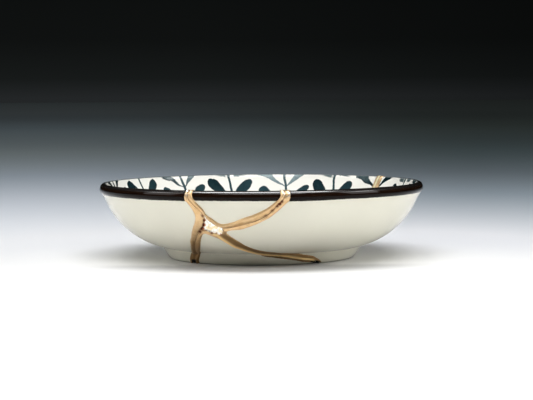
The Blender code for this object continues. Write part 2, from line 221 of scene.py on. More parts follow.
# Beads where the seams cross the rim: azimuth, offset from the crest along the skin, size and rise
KNOBS = (
    (-25.0, -1.2, 0.8, 0.30), (-23.6, -0.8, 0.7, 0.25), (-24.3, -2.6, 0.8, 0.25), (-25.2, -3.4, 0.7, 0.20),
    (6.9, -0.9, 0.8, 0.35), (8.4, -1.6, 0.7, 0.30), (9.3, -0.9, 0.8, 0.40), (9.2, -2.9, 0.8, 0.35),
    (7.4, -2.8, 0.7, 0.25), (8.5, -4.0, 0.7, 0.20),
)
CHIP = on_wall(
    (-19.7, 29.3), (-19.2, 27.4), (-17.6, 25.2), (-15.8, 23.6), (-14.2, 22.6), (-14.4, 20.8),
    (-15.3, 18.9), (-17.9, 19.9), (-20.6, 21.2), (-22.1, 21.9), (-21.0, 23.6), (-20.1, 26.4),
)
# The gold's edges on the front, one for each shard that borders it there
LEFT_EDGE = on_wall(
    (-25.5, 42.2), (-25.5, 40.9), (-25.7, 38.0), (-25.1, 35.6), (-24.0, 32.5), (-23.5, 29.3),
    (-24.5, 25.2), (-26.1, 22.1), (-27.7, 19.0), (-30.7, 14.5), (-34.1, 10.6), (-39.6, 7.2),
    (-44.4, 4.7), (-47.2, 0.9),
) + on_base((-47.4, 50.6))
FOOT_EDGE = on_base((-39.6, 50.6)) + on_wall(
    (-39.7, 1.5), (-36.7, 5.1), (-32.4, 8.0), (-28.4, 11.0), (-25.2, 15.3), (-23.3, 18.0),
    (-21.7, 19.3), (-20.1, 18.7), (-17.7, 16.9), (-15.1, 14.2), (-12.8, 11.9), (-9.4, 9.9), (-5.3, 7.5),
    (-0.1, 5.7), (8.6, 4.1), (17.9, 2.7), (24.6, 1.6), (30.5, 0.9),
) + on_base((33.0, 50.6))
RIGHT_EDGE = on_base((38.6, 50.6)) + on_wall(
    (37.6, 1.0), (34.7, 2.7), (29.9, 4.7), (22.1, 6.1), (15.6, 6.8), (7.4, 7.7), (2.3, 8.5),
    (-2.4, 10.0), (-6.5, 12.3), (-9.8, 15.6), (-12.2, 18.5), (-12.9, 20.2), (-11.3, 21.3), (-7.5, 21.9),
    (-3.7, 23.7), (0.0, 25.9), (3.5, 28.8), (6.9, 33.3), (8.8, 36.5), (9.5, 38.7), (9.6, 41.5),
    (9.6, 42.2),
)
RIM_EDGE = on_wall(
    (6.2, 42.2), (6.2, 41.6), (6.1, 39.3), (5.1, 37.1), (3.4, 34.8), (0.0, 31.6), (-3.5, 29.4),
    (-7.1, 27.5), (-10.8, 25.5), (-13.9, 24.8), (-15.4, 25.5), (-17.3, 27.6), (-19.2, 29.8),
    (-20.0, 32.6), (-21.6, 35.8), (-22.5, 38.1), (-23.0, 41.2), (-23.0, 42.2),
)
FRONT_EDGES = (LEFT_EDGE, FOOT_EDGE, RIGHT_EDGE, RIM_EDGE)
# Points on a curve from knot to knot, and the steps that cracks and seams are then taken at
CURVE_POINTS = 33
CUT_STEP = 0.001
SEAM_STEP = 0.0005


def plane(azimuth, along):
    """The outside laid flat: straight out from the middle by the length along the skin."""
    return Vector((along * math.sin(math.radians(azimuth)), -along * math.cos(math.radians(azimuth))))


def laid_flat(azimuth, along):
    """The same for arrays, with the azimuths in radians."""
    return np.stack([along * np.sin(azimuth), -along * np.cos(azimuth)], axis=-1)


def lift_flat(flat):
    """Places in space for places on the outside laid flat."""
    return SKIN.places(np.hypot(*flat.T), np.arctan2(flat[:, 0], -flat[:, 1]))


def smooth(knots, step):
    """Azimuths (radians), lengths and both widths at even steps along a curve through the knots."""
    flat = [plane(azimuth, along) for azimuth, along, *_ in knots]
    last = len(flat) - 1
    courses = [(flat[min(i + 1, last)] - flat[max(i - 1, 0)]).normalized() for i in range(last + 1)]
    share = np.linspace(0.0, 1.0, CURVE_POINTS)[:-1, None]
    places, widths = [], []
    for index in range(last):
        span = (flat[index + 1] - flat[index]).length / 3.0
        handles = flat[index] + courses[index] * span, flat[index + 1] - courses[index + 1] * span
        ends = [point.to_3d() for point in (flat[index], *handles, flat[index + 1])]
        places += [tuple(point.to_2d()) for point in interpolate_bezier(*ends, CURVE_POINTS)[:-1]]
        start, end = np.array(knots[index][2:]), np.array(knots[index + 1][2:])
        widths += list(start + (end - start) * share)
    places = np.array(places + [tuple(flat[-1])])
    widths = np.array(widths + [knots[-1][2:]])
    run = np.concatenate([[0.0], np.cumsum(np.hypot(*np.diff(places, axis=0).T))])
    even = np.linspace(0.0, run[-1], max(2, round(run[-1] / step)) + 1)
    x, y, left, right = [np.interp(even, run, values) for values in (*places.T, *widths.T)]
    return np.stack([np.arctan2(x, -y), np.hypot(x, y), left * MM, right * MM], axis=-1)


def to_inside(along):
    """The length at which a crack shows inside, for the length at which it shows outside."""
    inner = SKIN.lengths > SKIN.inner_top
    over_crease = float(np.interp(-FOOT_CREASE[0], -SKIN.points[inner, 0], SKIN.lengths[inner]))
    knots = (0.0, SKIN.length_near(RECESS_EDGE), SKIN.crease, SKIN.band, SKIN.crest)
    return np.interp(along, knots, (SKIN.total, SKIN.length_near(WELL_EDGE), over_crease,
                                    SKIN.inner_top + 0.004, SKIN.inner_top))


# ---------------------------------------------------------------- the shards

# Cutters reach this far past the skin, and this far below what the dish stands on
CUTTER_REACH = 0.004
BELOW_FLOOR = -0.001
CRACK_GAP = 0.0006
# Small gaps under the foot, where the gold stops short: name, azimuth, half width and height
NOTCHES = (("left notch", -43.4, 0.0026, 0.0021), ("right notch", 34.3, 0.0034, 0.0021))
NOTCH_RADII = (0.0570, 0.0492)
# The places of the three glazes among the shards' materials
PAINTED, PLAIN, LIP = 0, 1, 2
# Slivers of less than this are dropped, in cubic metres
LEAST_VOLUME = 1e-7


def make_object(name, vertices, faces, materials, face_materials=None):
    mesh = bpy.data.meshes.new(name)
    mesh.from_pydata([tuple(v) for v in vertices], [], faces)
    for material in materials:
        mesh.materials.append(material)
    if face_materials is not None:
        mesh.polygons.foreach_set("material_index", face_materials)
    mesh.update()
    thing = bpy.data.objects.new(name, mesh)
    bpy.context.scene.collection.objects.link(thing)
    return thing


def make_bowl(materials):
    """The whole dish turned finely, in three materials: the inside, the outside and the lip."""
    outline = np.array([tuple(point) for point in skin_outline(1.0)])
    turns = np.arange(TURN_STEPS) * math.tau / TURN_STEPS
    rings = outline[1:-1]
    vertices = [(0.0, 0.0, outline[0, 1])]
    for radius, height in rings:
        vertices += [(radius * math.sin(a), -radius * math.cos(a), height) for a in turns]
    vertices.append((0.0, 0.0, outline[-1, 1]))
    crest, edge = [int(np.argmin(np.hypot(*(rings - np.array(end)).T))) for end in (LIP_CREST, BAND_EDGE)]
    faces, sides = [], []
    for i in range(TURN_STEPS):
        j = (i + 1) % TURN_STEPS
        faces.append((0, 1 + j, 1 + i))
        sides.append(PLAIN)
        for row in range(len(rings) - 1):
            low, high = 1 + row * TURN_STEPS, 1 + (row + 1) * TURN_STEPS
            faces.append((low + i, low + j, high + j, high + i))
            sides.append(PAINTED if row >= crest else LIP if row >= edge - 1 else PLAIN)
        last = 1 + (len(rings) - 1) * TURN_STEPS
        faces.append((last + i, last + j, len(vertices) - 1))
        sides.append(PAINTED)
    return make_object("whole_dish", vertices, faces, materials, sides)


def below_skin(path, reach):
    """Places clear of the outside along a crack, straight down under the foot and up over the lip."""
    azimuth, along = path[:, 0], path[:, 1]
    wall = np.clip(along, SKIN.crease + 0.0005, SKIN.band - 0.004)
    out, up = SKIN.normals(wall)
    lean = np.arctan2(up, out)
    turn = np.clip((along - SKIN.band + 0.004) / (SKIN.crest - SKIN.band + 0.004), 0.0, 1.0)
    lean = lean + (math.pi / 2.0 - lean) * turn
    radius, height = SKIN.section(np.maximum(along, wall))
    radius, height = radius + np.cos(lean) * reach, height + np.sin(lean) * reach
    under = np.clip((SKIN.crease + 0.0005 - along) / (SKIN.crease - SKIN.toe), 0.0, 1.0)
    toe_radius = np.minimum(SKIN.section(along)[0], FOOT_TOE[0])
    radius = radius + (toe_radius - radius) * under
    height = height + (-reach - height) * under
    return np.stack([radius * np.sin(azimuth), -radius * np.cos(azimuth), height], axis=-1)


def crack_sheet(name, path):
    """A crack through the wall as a thin closed sheet, reaching past both sides."""
    outer = below_skin(path, CUTTER_REACH)
    inner = SKIN.places(to_inside(path[:, 1]), path[:, 0], CUTTER_REACH)
    count = len(path)
    vertices = list(outer) + list(inner)
    faces = [(i, i + 1, count + i + 1, count + i) for i in range(count - 1)]
    sheet = make_object(name, vertices, faces, [])
    solidify = sheet.modifiers.new("gap", "SOLIDIFY")
    solidify.thickness = CRACK_GAP
    solidify.offset = 0.0
    return sheet


def prism(name, outer, inner):
    """A closed block between two outlines with the same number of corners."""
    count = len(outer)
    faces = [tuple(range(count)), tuple(reversed(range(count, 2 * count)))]
    faces += [(i, count + i, count + (i + 1) % count, (i + 1) % count) for i in range(count)]
    block = make_object(name, list(outer) + list(inner), faces, [])
    bm = bmesh.new()
    bm.from_mesh(block.data)
    bmesh.ops.recalc_face_normals(bm, faces=bm.faces)
    bm.to_mesh(block.data)
    bm.free()
    return block


def foot_notch(name, azimuth, half_width, height):
    turn, spread = math.radians(azimuth), half_width / FOOT_TOE[0]
    corners = ((turn - spread, BELOW_FLOOR), (turn + spread, BELOW_FLOOR), (turn, height))
    outer, inner = [[(radius * math.sin(angle), -radius * math.cos(angle), level)
                     for angle, level in corners] for radius in NOTCH_RADII]
    return prism(name, outer, inner)


def make_shards(materials, cracks):
    bowl = make_bowl(materials)
    cutters = [foot_notch(*notch) for notch in NOTCHES]
    cutters += [crack_sheet(f"crack {i}", path) for i, path in enumerate(cracks)]
    azimuth = np.radians([knot[0] for knot in CHIP])
    along = np.array([knot[1] for knot in CHIP])
    cutters.append(prism("chip", SKIN.places(along, azimuth, CUTTER_REACH),
                         SKIN.places(to_inside(along), azimuth, CUTTER_REACH)))
    for cutter in cutters:
        cut = bowl.modifiers.new(cutter.name, "BOOLEAN")
        cut.operation = "DIFFERENCE"
        cut.solver = "EXACT"
        cut.object = cutter
    graph = bpy.context.evaluated_depsgraph_get()
    mesh = bpy.data.meshes.new_from_object(bowl.evaluated_get(graph))
    for thing in cutters + [bowl]:
        bpy.data.objects.remove(thing)
    split(mesh)


def split(mesh):
    """One object for each separate body of a mesh, named for the CAD node it stands for."""
    bm = bmesh.new()
    bm.from_mesh(mesh)
    bm.verts.ensure_lookup_table()
    island = [-1] * len(bm.verts)
    count = 0
    for start in bm.verts:
        if island[start.index] >= 0:
            continue
        stack = [start]
        island[start.index] = count
        while stack:
            for edge in stack.pop().link_edges:
                for vertex in edge.verts:
                    if island[vertex.index] < 0:
                        island[vertex.index] = count
                        stack.append(vertex)
        count += 1
    shards = []
    for number in range(count):
        part = bm.copy()
        part.verts.ensure_lookup_table()
        others = [vertex for vertex in part.verts if island[vertex.index] != number]
        bmesh.ops.delete(part, geom=others, context="VERTS")
        if part.calc_volume() > LEAST_VOLUME:
            shard = bpy.data.meshes.new("shard")
            part.to_mesh(shard)
            low, high = [Vector([end(vertex.co[i] for vertex in part.verts) for i in range(3)])
                         for end in (min, max)]
            for material in mesh.materials:
                shard.materials.append(material)
            shards.append(((low + high) / 2.0, shard))
        part.free()
    bm.free()
    for node in ("shard_rim_front", "shard_foot_front", "shard_left", "shard_right"):
        low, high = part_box(node)
        place = (Vector(low) + Vector(high)) / 2.0
        best = min(shards, key=lambda middle_and_shard: (middle_and_shard[0] - place).length)
        shards.remove(best)
        shard = best[1]
        shard.name = f"{node}_glazed"
        shard.shade_smooth()
        shard.set_sharp_from_angle(angle=math.radians(40.0))
        thing = bpy.data.objects.new(shard.name, shard)
        bpy.context.scene.collection.objects.link(thing)
        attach(thing, "root")
        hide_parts(node)


# ---------------------------------------------------------------- the gold

# The grid over the gold on the outside and on the inside: is it the outside, its step and its reach
GOLD_SIDES = ((True, 0.00030, SKIN.crest + 0.0075), (False, 0.00042, SKIN.total - SKIN.crest - 0.0070))
# Points measured against all targets at a time
BLOCK = 1500
# The gold's height over the skin, its height in the groove as a share of that, and its slab's depth
GOLD_RISE = 0.00105
VALLEY = 0.42
GOLD_THICKNESS = 0.0007
# How far in from its edge the gold is rounded, and how far its edge stands inside the drawn one
EDGE_ROUND = 0.0008
EDGE_IN = 0.0002
# The uneven edge: the noises' scale, seeds and reach
WOBBLE = ((0.0050, (1, 2, 3), 0.00022), (0.0016, (4, 5, 6), 0.00009))
# Under the foot the gold ends this high, and this much higher in the groove, within these widths
# of it on the right and on the left; its edge there is as deep as the height times the steepness
FLOOR_CLEAR = 0.0006
NOTCH_CLEAR = 0.0012
NOTCH_WIDTHS = (0.0012, 0.0009)
FLOOR_STEEPNESS = 2.5
# The gold's skirt sinks below the skin outside its edge, down to this depth
SKIRT = 0.00085
# The gold lies low over the lip, within this length of its crest
LIP_FLATTEN = 0.0022
# Half the gold's width over the lip, and behind the chip
RIM_GOLD = 0.0022
CHIP_GOLD_INSIDE = 0.0034
# The front, in degrees each side, where the edges of the gold are drawn
FRONT_SPAN = 55.0
# The seam along the foot is one slope with a ridge: azimuths, and the ridge's place across the seam
RIDGE_AZIMUTHS = (-12.0, 2.0, 12.0)
RIDGE_PLACES = (0.74, 0.46, 0.54)
RIDGE_WIDTH = 0.12
# The chip's pocket: its cells' size, its edge's height and width, and how far down its slab goes
CELL = 0.0025
FACET_SEED = 1
POCKET_EDGE = 0.00055
POCKET_BLEND = 0.00045
POCKET_FLOOR = -0.0026
CHIP_FLAT = np.array([tuple(plane(azimuth, along)) for azimuth, along, *_ in CHIP])


def discs_of(path, inside=False):
    """Overlapping discs that cover a seam's width: centres, radii, and the seam's middle."""
    azimuth, along, left, right = path.T
    if inside:
        along = to_inside(along)
    places = SKIN.places(along, azimuth)
    run = np.gradient(places, axis=0)
    out, up = SKIN.normals(along)
    normal = np.stack([out * np.sin(azimuth), -out * np.cos(azimuth), up], axis=-1)
    aside = np.cross(normal, run)
    aside /= np.maximum(np.linalg.norm(aside, axis=1, keepdims=True), 1e-9)
    shift = (left - right)[:, None] / 2.0
    return places + aside * shift, (left + right) / 2.0, places


def inside_polygon(points, corners):
    """Which of the flat points lie inside a polygon."""
    x, y = points.T
    result = np.zeros(len(points), bool)
    for (x0, y0), (x1, y1) in zip(corners, np.roll(corners, -1, axis=0)):
        crosses = (y0 > y) != (y1 > y)
        reach = x0 + (y - y0) / np.where(y1 == y0, 1e-12, y1 - y0) * (x1 - x0)
        result ^= crosses & (x < reach)
    return result


def nearest(points, targets, radii=0.0):
    """How far each point is from its nearest target, less the target's own radius."""
    best = np.empty(len(points))
    for start in range(0, len(points), BLOCK):
        block = points[start:start + BLOCK]
        gap = np.linalg.norm(block[:, None, :] - targets[None, :, :], axis=2)
        best[start:start + BLOCK] = np.min(gap - radii, axis=1)
    return best


def rise(value, start, run):
    """0 up to the start, and from there evenly up to 1 over the run."""
    return np.clip((value - start) / run, 0.0, 1.0)


def bell(value, width):
    return np.exp(-(value / width) ** 2)


def wander(points, scale, seed):
    """Smooth noise from -1 to 1 at each point, with features of about the given size."""
    offset = Vector((seed * 17.3, seed * 5.1, seed * 9.7))
    return np.array([noise.noise(Vector(p) / scale + offset) for p in points])


def wander_about(points, scale, seeds):
    return np.stack([wander(points, scale, seed) for seed in seeds], axis=-1)


def facets(points, size):
    """Flat tilted cells that mostly face upwards, as of broken lacquer."""
    noise.seed_set(FACET_SEED)
    result = []
    for point in points:
        place = Vector(point) / size + Vector((3.7, 1.9, 7.3))
        _, cells = noise.voronoi(place)
        lean = Vector((0.0, 0.0, -0.60)) + noise.noise_vector(cells[0] * 3.1) * 0.55
        result.append((place - cells[0]).dot(lean) * size)
    return np.array(result)


def edge_line(knots):
    """A gold edge as places laid flat at even steps."""
    azimuth, along, *_ = smooth(knots, 0.0004).T
    return laid_flat(azimuth, along)


def dense_ring(corners):
    """A closed outline with many places on each of its sides."""
    following = np.roll(corners, -1, axis=0)
    return np.concatenate([corners + (following - corners) * share for share in np.linspace(0.0, 0.9, 10)])


def flat_by(points, front):
    """Points near the skin laid flat, outwards from the middle of the underside or of the well."""
    part = SKIN.lengths <= SKIN.crest + 0.012 if front else SKIN.lengths >= SKIN.crest - 0.004
    section = np.stack([np.hypot(points[:, 0], points[:, 1]), points[:, 2]], axis=-1)
    line, lengths = SKIN.points[part], SKIN.lengths[part]
    gap = np.linalg.norm(section[:, None, :] - line[None, :, :], axis=2)
    along = lengths[np.argmin(gap, axis=1)]
    return laid_flat(np.arctan2(points[:, 0], -points[:, 1]), along if front else SKIN.total - along)


def gold_patch(discs, edges, step, reach, front):
    """Grid points of one side of the dish near its seams."""
    centres, radii = discs
    grid = np.arange(-math.ceil(reach / step), math.ceil(reach / step) + 1) * step
    marked = np.zeros((len(grid), len(grid)), bool)
    spots = np.concatenate([flat_by(centres, front), edges])
    spans = np.concatenate([radii * 1.45 + 0.0014, np.full(len(edges), 0.0052)])
    for (x, y), span in zip(spots, spans):
        columns = np.flatnonzero(np.abs(grid - x) < span)
        rows = np.flatnonzero(np.abs(grid - y) < span)
        marked[np.ix_(columns, rows)] = True
    columns, rows = np.nonzero(marked)
    spots = np.stack([grid[columns], grid[rows]], axis=-1)
    distance = np.hypot(*spots.T)
    keep = distance < reach
    columns, rows, spots, distance = columns[keep], rows[keep], spots[keep], distance[keep]
    azimuth = np.arctan2(spots[:, 0], -spots[:, 1])
    along = distance if front else SKIN.total - distance
    return columns, rows, azimuth, along, SKIN.places(along, azimuth)


def foot_seam(places, degrees):
    """The ridge of the seam along the foot, and how far the gold beside it is one slope."""
    upper = nearest(places, lift_flat(edge_line(RIGHT_EDGE)))
    lower = nearest(places, lift_flat(edge_line(FOOT_EDGE)))
    share = upper / (upper + lower + 1e-6)
    middle = np.interp(degrees, RIDGE_AZIMUTHS, RIDGE_PLACES)
    height = places[:, 2]
    far = rise(degrees, -19.0, 3.0)
    low = rise(-height, -0.0215, 0.0020) * rise(height, 0.0017, 0.0010)
    return bell(share - middle, RIDGE_WIDTH) * far * low, far * low


def stain_and_shade_at(places):
    """How dark the stains in the groove, and the painted shade in the chip's pocket, are at each place."""
    stain_and_shade = np.zeros(len(places))
    for azimuth, height, size, strength in STAINS_AND_POCKET_SHADE:
        along = np.array([on_wall((0.0, height))[0][1]])
        spot = SKIN.places(along, math.radians(azimuth))[0]
        stain_and_shade = np.maximum(stain_and_shade, strength * bell(np.linalg.norm(places - spot, axis=1), size * MM))
    return stain_and_shade


def relief(places, along, azimuth, discs, lines, front):
    """The gold's depth from its edge, its height over the skin, and the marks its material reads."""
    shift = sum(wander_about(places, scale, seeds) * reach for scale, seeds, reach in WOBBLE)
    depth = -nearest(places + shift, *discs)
    groove = nearest(places + shift * 0.8, lines)
    flat, degrees = laid_flat(azimuth, along), np.degrees(azimuth)
    in_chip = np.zeros(len(places), bool)
    ridge, slope, stain_and_shade = np.zeros((3, len(places)))
    if front:
        zone = (np.abs(degrees) < FRONT_SPAN) & (along > SKIN.toe - 0.0012) & (along < SKIN.crest)
        edges = np.concatenate([edge_line(knots) for knots in FRONT_EDGES])
        gap = nearest((places + shift)[zone], lift_flat(edges))
        gap = np.where(inside_polygon(flat[zone], edges), gap, -gap)
        depth[zone] = np.maximum(depth[zone], gap) - EDGE_IN
        ridge[zone], slope[zone] = foot_seam(places[zone], degrees[zone])
        near = np.abs(degrees + 18.0) < 12.0
        in_chip[near] = inside_polygon(flat[near], CHIP_FLAT) & (along[near] < SKIN.crest)
        stain_and_shade = stain_and_shade_at(places)
    # clear of what the dish stands on, and short of the notches under the foot
    under = (along > SKIN.length_near(RECESS_EDGE)) & (along < SKIN.crease + 0.001)
    floor_line = FLOOR_CLEAR + NOTCH_CLEAR * bell(groove, np.where(azimuth > 0.0, *NOTCH_WIDTHS))
    depth = np.where(under, np.minimum(depth, (places[:, 2] - floor_line) * FLOOR_STEEPNESS), depth)

    inner = np.maximum(depth, 0.0)
    rounded = np.sqrt(1.0 - (1.0 - rise(inner, 0.0, EDGE_ROUND)) ** 2)
    valley = rise(groove / (groove + inner + 1e-6), 0.0, 0.70)
    valley = VALLEY + (1.0 - VALLEY) * valley * (2.0 - valley) ** 0.5
    valley = valley * (1.0 - slope) + (0.35 + 0.75 * ridge) * slope
    within = along > SKIN.crest + 0.0003 if front else np.ones(len(places), bool)
    flank = slope * (1.0 - ridge)
    valley[within], slope[within] = 1.0, 1.0
    height = GOLD_RISE * (1.0 + 0.16 * wander(places, 0.006, 7))
    height *= 1.0 - 0.70 * bell(along - SKIN.crest, LIP_FLATTEN)
    patchy = np.clip(0.30 + 0.55 * wander(places, 0.004, 8), 0.0, 1.0)
    slit = bell(groove, 0.00036) * patchy * (1.0 - slope)
    slit = np.clip(slit + stain_and_shade * bell(groove, 0.0005), 0.0, 1.0)
    lift = height * rounded * valley * (1.0 - 0.55 * slit)
    lift += rounded * (wander(places, 0.0011, 9) * 0.00005 + wander(places, 0.0024, 10) * 0.00007)
    lift = np.where(depth < 0.0, depth * 0.9, lift)
    if in_chip.any():
        spots = places[in_chip]
        floor = facets(spots, CELL) - 0.00010
        blend = rise(nearest(spots, lift_flat(dense_ring(CHIP_FLAT))), 0.0, POCKET_BLEND)
        lift[in_chip] = POCKET_EDGE * (1.0 - blend) + floor * blend
    marks = {"groove": (groove + slope * 0.0012) / MM, "pocket": in_chip.astype(float), "stain_and_shade": stain_and_shade,
             "ridge": ridge, "flank": flank, "within": within.astype(float)}
    return depth, lift, marks


def knobs(places, lift, depth):
    """The height with beads of gold standing up where the seams cross the rim, and where they are."""
    beads = np.zeros(len(places))
    for azimuth, offset, size, rise_mm in KNOBS:
        centre = SKIN.places(SKIN.crest + offset * MM, math.radians(azimuth))
        bead = bell(np.linalg.norm(places - centre, axis=1), size * MM)
        lift += np.where(depth > 0.0, rise_mm * MM * bead, 0.0)
        beads = np.maximum(beads, bead)
    return lift, beads


def patch_mesh(columns, rows, top, bottom, base_index):
    """A closed slab over a set of grid cells: faces for its top, bottom and edges."""
    index = {(int(c), int(r)): i for i, (c, r) in enumerate(zip(columns, rows))}
    count = len(columns)
    faces, edges = [], {}
    for (c, r), a in index.items():
        b, d, e = index.get((c + 1, r)), index.get((c + 1, r + 1)), index.get((c, r + 1))
        if b is None or d is None or e is None:
            continue
        faces.append((a, b, d, e))
        faces.append((count + e, count + d, count + b, count + a))
        for p, q in ((a, b), (b, d), (d, e), (e, a)):
            if (q, p) in edges:
                del edges[(q, p)]
            else:
                edges[(p, q)] = True
    faces += [(q, p, count + p, count + q) for p, q in edges]
    used = np.zeros(2 * count, bool)
    used[np.unique(np.concatenate([np.array(f) for f in faces]))] = True
    number = np.cumsum(used) - 1
    points = np.concatenate([top, bottom])[used]
    return points, [tuple(int(number[v]) + base_index for v in f) for f in faces], used


def rim_line(path):
    """Places across the lip, from the outside to the inside, at a crack's own azimuth."""
    azimuth = path[0, 0] if path[0, 1] > path[-1, 1] else path[-1, 0]
    along = np.arange(SKIN.crest, SKIN.inner_top + 0.0002, 0.0003)
    return SKIN.places(along, np.full(len(along), azimuth))


def across_chip():
    """A line over the inside of the chip, from its upper left to its lower right."""
    first, last = [plane(*knot[:2]) for knot in on_wall((-20.4, 25.6), (-15.6, 20.8))]
    flat = np.array([tuple(first.lerp(last, share)) for share in np.linspace(0.0, 1.0, 40)])
    return SKIN.places(to_inside(np.hypot(*flat.T)), np.arctan2(flat[:, 0], -flat[:, 1]))


def seams_on(cracks, front):
    """The discs under the gold of one side, and the places along the middles of its seams."""
    discs, lines = [], []
    for path in cracks:
        if front:
            at_end = (path[:, 1] < SKIN.toe + 0.0006) | (path[:, 1] > SKIN.crest - 0.0006)
            outer = path[at_end | (np.abs(path[:, 0]) > 1.2)]
            if len(outer) > 1:
                discs.append(discs_of(outer)[:2])
            lines.append(discs_of(path)[2])
        near_lip = path[path[:, 1] > SKIN.crest - 0.012] if front else path
        if len(near_lip) > 1:
            *disc, line = discs_of(near_lip, True)
            discs.append(disc)
            lines.append(line)
    rims = [rim_line(path) for path in cracks if max(path[0, 1], path[-1, 1]) > SKIN.crest - 0.001]
    extra = [(rim, RIM_GOLD) for rim in rims]
    if not front:
        extra.append((across_chip(), CHIP_GOLD_INSIDE))
    for line, radius in extra:
        discs.append((line, np.full(len(line), radius)))
        lines.append(line)
    if front:
        lines.append(lift_flat(dense_ring(CHIP_FLAT)))
    centres, radii = zip(*discs)
    return (np.concatenate(centres), np.concatenate(radii)), np.concatenate(lines)


def gold_side(cracks, front, step, reach):
    """The gold on one side: its grid cells, the places of its top and bottom, and its marks."""
    discs, lines = seams_on(cracks, front)
    edges = np.zeros((0, 2))
    if front:
        edges = np.concatenate([*[edge_line(knots)[::3] for knots in FRONT_EDGES], dense_ring(CHIP_FLAT)])
    columns, rows, azimuth, along, places = gold_patch(discs, edges, step, reach, front)
    depth, lift, marks = relief(places, along, azimuth, discs, lines, front)
    keep = depth > -SKIRT
    columns, rows, azimuth, along = columns[keep], rows[keep], azimuth[keep], along[keep]
    marks = {name: values[keep] for name, values in marks.items()}
    lift, marks["bead"] = knobs(places[keep], lift[keep], depth[keep])
    low = np.where(marks["pocket"] > 0.5, POCKET_FLOOR, np.minimum(lift, 0.0) - GOLD_THICKNESS)
    return columns, rows, SKIN.places(along, azimuth, lift), SKIN.places(along, azimuth, low), marks


def make_gold(material, cracks):
    sides = [gold_side(cracks, *side) for side in GOLD_SIDES]
    vertices, faces, layers = [], [], {name: [] for name in sides[0][-1]}
    for columns, rows, top, bottom, marks in sides:
        total = sum(len(points) for points in vertices)
        points, patch_faces, used = patch_mesh(columns, rows, top, bottom, total)
        vertices.append(points)
        faces += patch_faces
        for name, values in marks.items():
            layers[name].append(np.concatenate([values, values])[used])
    seam = make_object("gold_seam_lacquer", np.concatenate(vertices), faces, [material])
    for name, values in layers.items():
        layer = seam.data.attributes.new(name, "FLOAT", "POINT")
        layer.data.foreach_set("value", np.concatenate(values).astype(np.float32))
    flat_shaded = np.concatenate(layers["pocket"]) > 0.5
    seam.data.polygons.foreach_set("use_smooth", [not flat_shaded[list(face)].all() for face in faces])
    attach(seam, "root")
    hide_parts("gold_seam")


# ---------------------------------------------------------------- shader building

class Maker:
    """Adds nodes to one tree, with sockets or numbers as inputs."""

    def __init__(self, tree):
        self.tree = tree

    def node(self, kind, inputs=(), outputs=0, **settings):
        node = self.tree.nodes.new(kind)
        for key, value in settings.items():
            setattr(node, key, value)
        for key, value in dict(inputs).items():
            self.feed(node.inputs[key], value)
        return node.outputs[outputs]

    def feed(self, socket, value):
        if isinstance(value, Value):
            value = value.socket
        if isinstance(value, bpy.types.NodeSocket):
            self.tree.links.new(value, socket)
        else:
            socket.default_value = value

    def math(self, operation, *terms, clamp=False):
        node = self.tree.nodes.new("ShaderNodeMath")
        node.operation = operation
        node.use_clamp = clamp
        for socket, term in zip(node.inputs, terms):
            self.feed(socket, term)
        return Value(self, node.outputs[0])

    def mix(self, share, low, high):
        node = self.tree.nodes.new("ShaderNodeMix")
        node.data_type = "RGBA"
        self.feed(node.inputs[0], share)
        self.feed(node.inputs[6], low)
        self.feed(node.inputs[7], high)
        return node.outputs[2]

    def step(self, value, low, high):
        """0 below low, 1 above high, smooth between (or the reverse when low is the higher)."""
        node = self.tree.nodes.new("ShaderNodeMapRange")
        node.interpolation_type = "SMOOTHSTEP"
        ends = (low, high, 0.0, 1.0) if low < high else (high, low, 1.0, 0.0)
        self.feed(node.inputs[0], value)
        for socket, end in zip(node.inputs[1:5], ends):
            socket.default_value = end
        return Value(self, node.outputs[0])

    def noise(self, vector, scale, detail=2.0, roughness=0.5):
        socket = self.node("ShaderNodeTexNoise", {
            "Vector": vector, "Scale": scale, "Detail": detail, "Roughness": roughness})
        return Value(self, socket)

    def parts(self, vector):
        """The x, y and z of a vector."""
        node = self.tree.nodes.new("ShaderNodeSeparateXYZ")
        self.feed(node.inputs[0], vector)
        return [Value(self, socket) for socket in node.outputs]

    def ramp(self, value, knots):
        """A colour read off knots of a value and its red, green and blue."""
        node = self.tree.nodes.new("ShaderNodeValToRGB")
        stops = node.color_ramp.elements
        while len(stops) < len(knots):
            stops.new(0.5)
        for stop, (place, *colour) in zip(stops, knots):
            stop.position = place
            stop.color = (*colour, 1.0)
        self.feed(node.inputs[0], value)
        return node.outputs[0]

    def bump(self, shader, strength, distance, height):
        node = self.tree.nodes.new("ShaderNodeBump")
        node.inputs["Strength"].default_value = strength
        node.inputs["Distance"].default_value = distance
        self.feed(node.inputs["Height"], height)
        self.feed(shader.inputs["Normal"], node.outputs[0])


class Value:
    """A number socket that can be used in arithmetic."""

    def __init__(self, maker, socket):
        self.maker, self.socket = maker, socket

    def __add__(self, other): return self.maker.math("ADD", self, other)
    def __radd__(self, other): return self.maker.math("ADD", self, other)
    def __sub__(self, other): return self.maker.math("SUBTRACT", self, other)
    def __rsub__(self, other): return self.maker.math("SUBTRACT", other, self)
    def __mul__(self, other): return self.maker.math("MULTIPLY", self, other)
    def __rmul__(self, other): return self.maker.math("MULTIPLY", self, other)
    def __truediv__(self, other): return self.maker.math("DIVIDE", self, other)
    def abs(self): return self.maker.math("ABSOLUTE", self)
    def sqrt(self): return self.maker.math("SQRT", self)
    def clamp(self): return self.maker.math("ADD", self, 0.0, clamp=True)


def new_material(name):
    material = bpy.data.materials.new(name)
    material.use_nodes = True
    tree = material.node_tree
    shader = tree.nodes["Principled BSDF"]
    return material, Maker(tree), shader


MARK_INPUTS = ("across", "down", "head across", "head down", "tail across", "tail down",
               "head radius", "tail radius", "bend", "softness")
MARK_OUTPUTS = ("mask", "along", "side")
LEAF_WIDEST = 0.30
LEAF_TAPER = 1.8
STROKE_TAPER = 0.65


